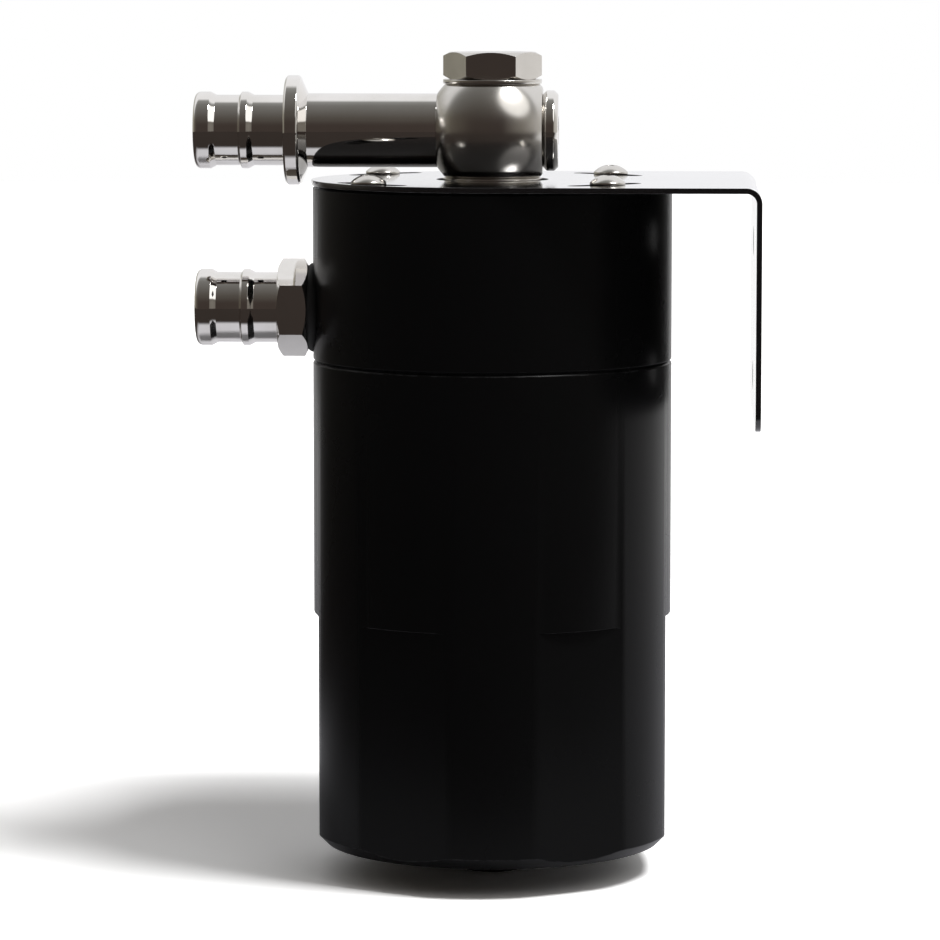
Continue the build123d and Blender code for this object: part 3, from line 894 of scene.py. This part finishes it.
def add_thread(name, node, material, ridge, root, side, bottom, turns):
    """One thread ridge, sunk a little into its wall, that rides with its node's body."""
    piece = grown_piece(name, thread_tree, {
        **ridge, "Root radius": root - side * THREAD_SINK, "Side": side, "Bottom": bottom,
        "Turns": turns, "Steps per turn": STEPS_PER_TURN, "Fade": FADED_SHARE, "Finish": material})
    piece.data.shade_flat()
    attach(piece, body_of_node[node])
    print(name, "faces", len(piece.data.polygons))


add_thread("head_thread", "head", black_anodised, CUP_RIDGE,
           root=33.75 * MM, side=OUTER, bottom=seam - 10.6 * MM, turns=3.0)
add_thread("cup_thread", "cup", black_anodised, CUP_RIDGE,
           root=35.2 * MM, side=INNER, bottom=seam - 12.1 * MM, turns=3.5)
add_thread("plug_thread", "drain_plug", black_oxide, PLUG_RIDGE,
           root=5.15 * MM, side=OUTER, bottom=floor_of_cup + 2.4 * MM, turns=2.0)
add_thread("drain_hole_thread", "cup", black_anodised, PLUG_RIDGE,
           root=6.15 * MM, side=INNER, bottom=floor_of_cup + 1.95 * MM + PLUG_PITCH / 2, turns=1.2)

# %% [markdown]
# ### Seals
# An O-ring is round in section before it is squeezed, and flatter after.
# A circle is swept along a circle and stretched to the space that the solid keeps for it.
# Its size is read from that solid's box.

# %% Seals
SEAL_WIDTHS_MM = {
    "cup_seal": 2.1, "drain_seal": 1.2, "banjo_end_seal": 1.3, "side_fitting_seal": 2.0}
SEAL_STEPS = 96
SECTION_STEPS = 20


def seal_rule():
    """A ring with an oval section, turned and moved to its seat."""
    tree, given, result = new_rule("SealRing", {
        "Middle radius": VALUE, "Width": VALUE, "Depth": VALUE, "Turn": VECTOR, "Seat": VECTOR})
    path = add_node(tree, "GeometryNodeCurvePrimitiveCircle", {
        "Resolution": SEAL_STEPS, "Radius": given.outputs["Middle radius"]})
    upright = add_node(
        tree, "GeometryNodeSetCurveNormal", {"Curve": path.outputs[0]}, mode="Z_UP")
    circle = add_node(
        tree, "GeometryNodeCurvePrimitiveCircle", {"Resolution": SECTION_STEPS, "Radius": 0.5})
    oval = add_node(tree, "GeometryNodeTransform", {
        "Geometry": circle.outputs[0],
        "Scale": vector_of(tree, given.outputs["Width"], given.outputs["Depth"], 1.0)})
    ring = add_node(tree, "GeometryNodeCurveToMesh", {
        "Curve": upright.outputs[0], "Profile Curve": oval.outputs[0]})
    seated = add_node(tree, "GeometryNodeTransform", {
        "Geometry": ring.outputs[0], "Translation": given.outputs["Seat"],
        "Rotation": rotation_of(tree, given.outputs["Turn"])})
    return end_rule(tree, given, result, seated.outputs[0])


seal_tree = seal_rule()
for node, width_mm in SEAL_WIDTHS_MM.items():
    low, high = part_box(node)
    size = high - low
    lying = size.x < size.z
    seal = grown_piece(node + "_finished", seal_tree, {
        "Middle radius": (size.y - width_mm * MM) / 2, "Width": width_mm * MM,
        "Depth": size.x if lying else size.z,
        "Turn": (0.0, math.pi / 2 if lying else 0.0, 0.0),
        "Seat": tuple((low + high) / 2), "Finish": rubber})
    stand_for(seal, node)
    print(seal.name, "faces", len(seal.data.polygons))

# %% [markdown]
# ### Knitted wire
# Behind the screen sits a wad of knitted wire on which the oil mist settles.
# It is one of the pieces that nobody sees until the cup is off.
# Small loops of thin wire at random places and angles give the same look.

# %% Knitted wire
LOOP_RADIUS = 2.6 * MM
WIRE_RADIUS = 0.16 * MM
LOOP_SIDES = 10
WIRE_SIDES = 3
LOOPS = 1300
WIRE_SEED = 11


def wire_rule():
    """Loops of wire scattered in a cylinder."""
    tree, given, result = new_rule("KnittedWire", {
        "Radius": VALUE, "Bottom": VALUE, "Top": VALUE, "Loops": WHOLE, "Loop radius": VALUE,
        "Wire radius": VALUE, "Seed": WHOLE})
    seeds = [calculate(tree, "ADD", given.outputs["Seed"], float(step)) for step in range(6)]
    share = random_value(tree, 0.0, 1.0, seeds[0])
    radius = calculate(tree, "MULTIPLY", calculate(tree, "SQRT", share), given.outputs["Radius"])
    angle = random_value(tree, 0.0, 2 * math.pi, seeds[1])
    height = random_value(tree, given.outputs["Bottom"], given.outputs["Top"], seeds[2])
    across = [calculate(tree, "MULTIPLY", radius, calculate(tree, wave, angle))
              for wave in ("COSINE", "SINE")]
    points = add_node(tree, "GeometryNodePoints", {
        "Count": given.outputs["Loops"], "Position": vector_of(tree, *across, height)})
    loop = add_node(tree, "GeometryNodeCurvePrimitiveCircle", {
        "Resolution": LOOP_SIDES, "Radius": given.outputs["Loop radius"]})
    section = add_node(tree, "GeometryNodeCurvePrimitiveCircle", {
        "Resolution": WIRE_SIDES, "Radius": given.outputs["Wire radius"]})
    wire = add_node(tree, "GeometryNodeCurveToMesh", {
        "Curve": loop.outputs[0], "Profile Curve": section.outputs[0]})
    turns = [random_value(tree, 0.0, 2 * math.pi, seed) for seed in seeds[3:]]
    scattered = add_node(tree, "GeometryNodeInstanceOnPoints", {
        "Points": points.outputs[0], "Instance": wire.outputs[0],
        "Rotation": rotation_of(tree, vector_of(tree, *turns))})
    return end_rule(tree, given, result, scattered.outputs[0])


pack_low, pack_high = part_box("mesh_pack")
room_needed = LOOP_RADIUS + WIRE_RADIUS
wire_pack = grown_piece("mesh_pack_finished", wire_rule(), {
    "Radius": (pack_high.x - pack_low.x) / 2 - room_needed,
    "Bottom": pack_low.z + room_needed, "Top": pack_high.z - room_needed,
    "Loops": LOOPS, "Loop radius": LOOP_RADIUS, "Wire radius": WIRE_RADIUS,
    "Seed": WIRE_SEED, "Finish": plain_aluminium})
stand_for(wire_pack, "mesh_pack")
print("knitted wire faces", len(wire_pack.data.polygons))
